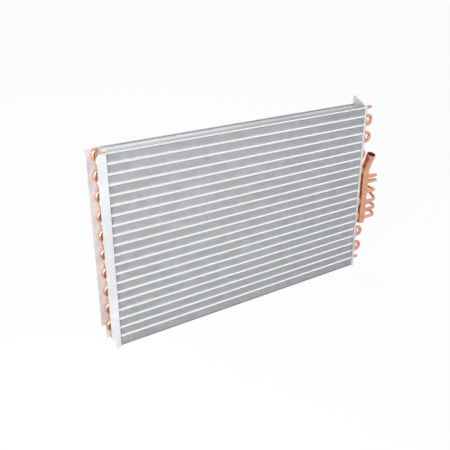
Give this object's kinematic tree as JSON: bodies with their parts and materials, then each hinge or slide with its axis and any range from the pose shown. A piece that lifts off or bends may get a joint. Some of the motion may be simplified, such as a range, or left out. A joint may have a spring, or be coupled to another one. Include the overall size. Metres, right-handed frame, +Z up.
{
  "type": "evaporator coil",
  "caption": "Plate-fin evaporator coil: copper hairpin tubes through aluminium fins, sheet end plates, return bends and a suction header with curved feeders.",
  "frame": {"origin": "Middle of the fin pack's length and depth, on the underside of the base rail.", "axes": "X runs along the tubes, from the hairpin bends at -X to the header at +X. -Y is the front face. Z is up."},
  "size_m": [0.9275, 0.0745, 0.5385],
  "materials": {
    "copper_tube": "drawn copper tube, satin",
    "fin_aluminium": "mill finish fin stock",
    "galvanised_sheet": "galvanised, folded"
  },
  "bodies": {
    "root": {"base_rail": "galvanised_sheet", "crossover_front_10": "copper_tube", "crossover_front_11": "copper_tube", "fin_pack": "fin_aluminium", "hairpin_back_01": "copper_tube", "hairpin_back_02": "copper_tube", "hairpin_back_03": "copper_tube", "hairpin_back_04": "copper_tube", "hairpin_back_05": "copper_tube", "hairpin_back_06": "copper_tube", "hairpin_back_07": "copper_tube", "hairpin_back_08": "copper_tube", "hairpin_back_09": "copper_tube", "hairpin_back_10": "copper_tube", "hairpin_front_01": "copper_tube", "hairpin_front_02": "copper_tube", "hairpin_front_03": "copper_tube", "hairpin_front_04": "copper_tube", "hairpin_front_05": "copper_tube", "hairpin_front_06": "copper_tube", "hairpin_front_07": "copper_tube", "hairpin_front_08": "copper_tube", "hairpin_front_09": "copper_tube", "hairpin_front_10": "copper_tube", "hairpin_middle_01": "copper_tube", "hairpin_middle_02": "copper_tube", "hairpin_middle_03": "copper_tube", "hairpin_middle_04": "copper_tube", "hairpin_middle_05": "copper_tube", "hairpin_middle_06": "copper_tube", "hairpin_middle_07": "copper_tube", "hairpin_middle_08": "copper_tube", "hairpin_middle_09": "copper_tube", "hairpin_middle_10": "copper_tube", "left_end_plate": "galvanised_sheet", "return_bend_back_02": "copper_tube", "return_bend_back_04": "copper_tube", "return_bend_back_06": "copper_tube", "return_bend_back_08": "copper_tube", "return_bend_back_12": "copper_tube", "return_bend_back_14": "copper_tube", "return_bend_back_16": "copper_tube", "return_bend_back_18": "copper_tube", "return_bend_front_02": "copper_tube", "return_bend_front_04": "copper_tube", "return_bend_front_06": "copper_tube", "return_bend_front_08": "copper_tube", "return_bend_front_12": "copper_tube", "return_bend_front_14": "copper_tube", "return_bend_front_16": "copper_tube", "return_bend_front_18": "copper_tube", "return_bend_middle_02": "copper_tube", "return_bend_middle_04": "copper_tube", "return_bend_middle_06": "copper_tube", "return_bend_middle_14": "copper_tube", "return_bend_middle_16": "copper_tube", "return_bend_middle_18": "copper_tube", "right_end_plate": "galvanised_sheet", "suction_header": "copper_tube", "top_strip": "galvanised_sheet"}
  },
  "joints": []
}
